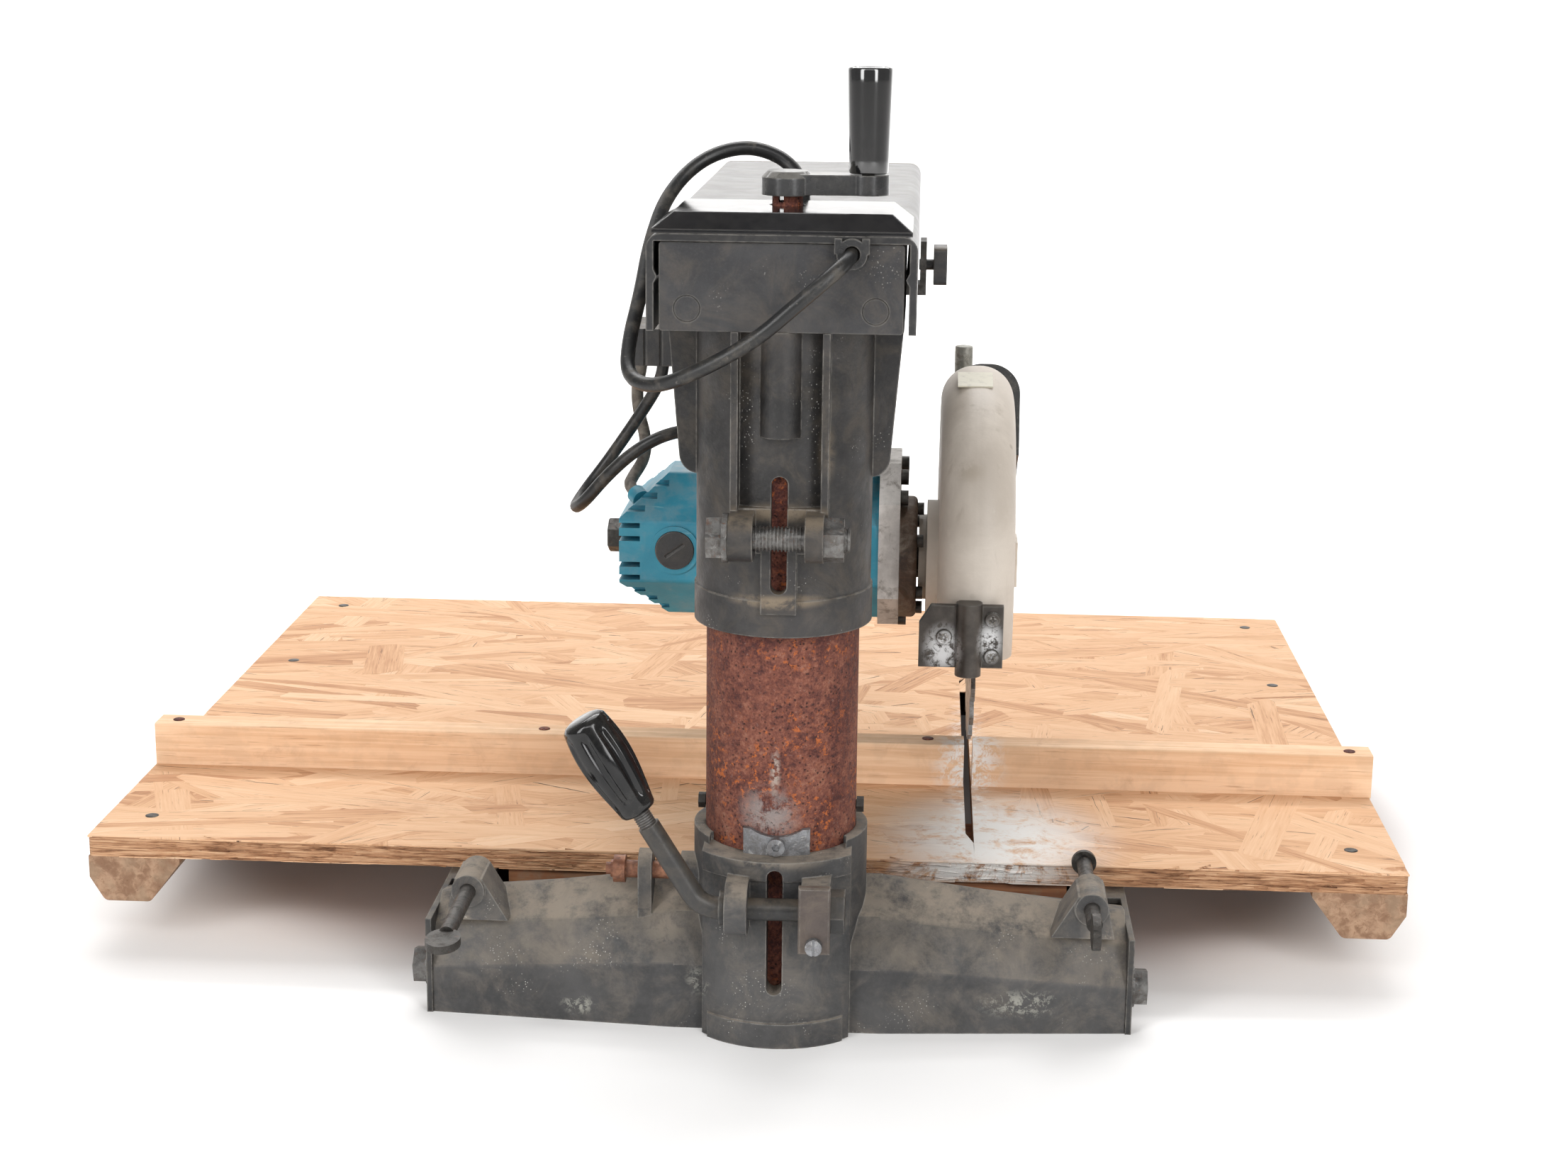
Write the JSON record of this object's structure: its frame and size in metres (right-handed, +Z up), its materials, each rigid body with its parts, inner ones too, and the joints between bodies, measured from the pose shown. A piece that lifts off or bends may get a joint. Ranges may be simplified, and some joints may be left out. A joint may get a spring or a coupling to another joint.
{
  "type": "radial arm saw",
  "caption": "Radial arm saw: a motor and blade in a yoke roll along an arm that turns and lifts on a steel column, over a wooden table with a low fence.",
  "frame": {"origin": "on the column's axis at the underside of the base casting, where it stands on a bench", "axes": "+Z up along the column, -Y along the arm towards the operator, +X to the operator's right at the motor's cooling end, along the fence"},
  "size_m": [0.71, 0.685, 0.4786],
  "materials": {
    "black_paint": "satin, worn and dusty",
    "gloss_black": "gloss",
    "rusty_steel": "matt, deeply rusted",
    "zinc_steel": "satin, dull zinc",
    "dark_steel": "satin",
    "blade_steel": "satin",
    "cast_alloy": "matt, as cast",
    "housing_teal": "satin, scuffed",
    "black_plastic": "satin",
    "bakelite": "gloss",
    "guard_grey": "satin, stained",
    "guard_brown": "matt, with white residue",
    "rubber_black": "matt",
    "strand_board": "matt, rough",
    "pine": "matt",
    "brass_pin": "dull",
    "iron_core": "matt"
  },
  "bodies": {
    "base": {"base_casting": "black_paint", "left_rail": "black_paint", "right_rail": "black_paint", "front_crossbar": "black_paint", "rail_bolts": "zinc_steel", "table_board": "strand_board", "left_cleat": "pine", "right_cleat": "pine", "centre_board": "pine", "left_fence": "pine", "right_fence": "pine", "column_keeper": "zinc_steel", "lever_stop_plate": "rusty_steel", "base_screws": "zinc_steel"},
    "mitre_lock": {"mitre_lever": "black_paint", "mitre_grip": "bakelite"},
    "index_stop": {"index_pin": "brass_pin"},
    "left_screw": {"left_thumb_screw": "dark_steel"},
    "right_screw": {"right_thumb_screw": "dark_steel"},
    "column": {"column_tube": "rusty_steel", "column_stop_screws": "dark_steel"},
    "arm": {"arm_sleeve": "black_paint", "sleeve_clamp_bolt": "zinc_steel", "arm_channel": "gloss_black", "rear_cover": "black_plastic", "lead_entries": "rubber_black", "top_cap": "gloss_black", "arm_end_cap": "black_plastic", "supply_lead": "rubber_black"},
    "crank": {"lifting_screw": "rusty_steel", "crank_arm": "black_plastic"},
    "crank_grip": {"crank_knob": "bakelite"},
    "carriage": {"carriage_plate": "cast_alloy"},
    "roller_one": {"roller_1": "dark_steel"},
    "roller_two": {"roller_2": "dark_steel"},
    "roller_three": {"roller_3": "dark_steel"},
    "roller_four": {"roller_4": "dark_steel"},
    "carriage_lock": {"carriage_lock_knob": "black_plastic"},
    "yoke_body": {"yoke": "black_paint", "cable_box": "black_plastic", "pull_handle": "black_plastic", "motor_loop_lead": "rubber_black", "motor_lead": "rubber_black"},
    "trigger_body": {"trigger": "black_plastic"},
    "swivel_lock": {"swivel_lock_lever": "black_plastic"},
    "bevel_lock": {"bevel_lock_lever": "black_plastic"},
    "motor": {"motor_housing": "housing_teal", "motor_end_cap": "housing_teal", "brush_caps": "black_plastic", "gear_case": "cast_alloy", "gear_case_screws": "dark_steel", "spindle_flange": "rusty_steel"},
    "rotor": {"armature": "iron_core"},
    "blade_spindle": {"spindle": "dark_steel", "blade_clamp": "dark_steel", "saw_blade": "blade_steel"},
    "guard": {"guard_shell": "guard_grey", "dust_deflector": "rubber_black", "guard_bracket": "guard_brown"},
    "kickback": {"kickback_rod": "zinc_steel"}
  },
  "joints": [
    {"name": "mitre_swing", "type": "hinge", "parent": "base", "child": "column", "pos_m": [0, 0, 0], "axis": [0, 0, 1], "range_deg": [-45, 45]},
    {"name": "mitre_lock_turn", "type": "hinge", "parent": "base", "child": "mitre_lock", "pos_m": [0, 0.06, 0.077], "axis": [1, 0, 0], "range_deg": [-60, 0]},
    {"name": "index_pin_pull", "type": "slide", "parent": "base", "child": "index_stop", "axis": [1, 0, 0], "range_m": [0, 0.006], "stiffness_N_per_m": 400, "springref_m": -0.004},
    {"name": "left_screw_travel", "type": "slide", "parent": "base", "child": "left_screw", "axis": [0, -1, 0], "range_m": [0, 0.03]},
    {"name": "right_screw_travel", "type": "slide", "parent": "base", "child": "right_screw", "axis": [0, 1, 0], "range_m": [0, 0.036]},
    {"name": "elevation", "type": "slide", "parent": "column", "child": "arm", "axis": [0, 0, -1], "range_m": [-0.07, 0.024]},
    {"name": "crank_turn", "type": "hinge", "parent": "arm", "child": "crank", "pos_m": [0, 0, 0.418], "axis": [0, 0, 1], "range_deg": [-6400, 2200]},
    {"name": "crank_knob_spin", "type": "hinge", "parent": "crank", "child": "crank_grip", "pos_m": [-0.0385, 0, 0.45], "axis": [0, 0, 1], "continuous": true},
    {"name": "carriage_travel", "type": "slide", "parent": "arm", "child": "carriage", "axis": [0, -1, 0], "range_m": [-0.1, 0.1]},
    {"name": "roller_one_spin", "type": "hinge", "parent": "carriage", "child": "roller_one", "pos_m": [0.0452, -0.271, 0.384], "axis": [0, 0, 1], "range_deg": [-540, 540]},
    {"name": "roller_two_spin", "type": "hinge", "parent": "carriage", "child": "roller_two", "pos_m": [0.0452, -0.179, 0.384], "axis": [0, 0, 1], "range_deg": [-540, 540]},
    {"name": "roller_three_spin", "type": "hinge", "parent": "carriage", "child": "roller_three", "pos_m": [-0.0452, -0.271, 0.384], "axis": [0, 0, 1], "range_deg": [-540, 540]},
    {"name": "roller_four_spin", "type": "hinge", "parent": "carriage", "child": "roller_four", "pos_m": [-0.0452, -0.179, 0.384], "axis": [0, 0, 1], "range_deg": [-540, 540]},
    {"name": "carriage_lock_turn", "type": "hinge", "parent": "carriage", "child": "carriage_lock", "pos_m": [-0.067, -0.206, 0.362], "axis": [1, 0, 0], "range_deg": [0, 180]},
    {"name": "yoke_swivel", "type": "hinge", "parent": "carriage", "child": "yoke_body", "pos_m": [0, -0.225, 0.336], "axis": [0, 0, 1], "range_deg": [0, 90]},
    {"name": "trigger_pull", "type": "slide", "parent": "yoke_body", "child": "trigger_body", "axis": [0, -1, 0], "range_m": [0, 0.0035], "stiffness_N_per_m": 600, "springref_m": -0.004},
    {"name": "swivel_lock_turn", "type": "hinge", "parent": "yoke_body", "child": "swivel_lock", "pos_m": [0, -0.269, 0.34], "axis": [0, 0, 1], "range_deg": [0, 35]},
    {"name": "bevel", "type": "hinge", "parent": "yoke_body", "child": "motor", "pos_m": [0, -0.225, 0.1975], "axis": [0, 1, 0], "range_deg": [0, 12]},
    {"name": "bevel_lock_turn", "type": "hinge", "parent": "yoke_body", "child": "bevel_lock", "pos_m": [0, -0.164, 0.1975], "axis": [0, 1, 0], "range_deg": [-50, 0]},
    {"name": "motor_spin", "type": "hinge", "parent": "motor", "child": "rotor", "pos_m": [0, -0.2256, 0.1975], "axis": [1, 0, 0], "continuous": true},
    {"name": "blade_spin", "type": "hinge", "parent": "motor", "child": "blade_spindle", "pos_m": [-0.0985, -0.205, 0.1935], "axis": [1, 0, 0], "continuous": true},
    {"name": "guard_turn", "type": "hinge", "parent": "motor", "child": "guard", "pos_m": [-0.0985, -0.205, 0.1935], "axis": [1, 0, 0], "range_deg": [0, 25]},
    {"name": "kickback_slide", "type": "slide", "parent": "guard", "child": "kickback", "axis": [0, 0, 1], "range_m": [0, 0.03]}
  ],
  "couplings": [
    {"joint": "crank_turn", "follows": "elevation", "rad_per_m": 1570.8},
    {"joint": "motor_spin", "follows": "blade_spin", "ratio": -4.25},
    {"joint": "roller_one_spin", "follows": "carriage_travel", "rad_per_m": 79.365},
    {"joint": "roller_two_spin", "follows": "carriage_travel", "rad_per_m": 79.365},
    {"joint": "roller_three_spin", "follows": "carriage_travel", "rad_per_m": -79.365},
    {"joint": "roller_four_spin", "follows": "carriage_travel", "rad_per_m": -79.365}
  ]
}
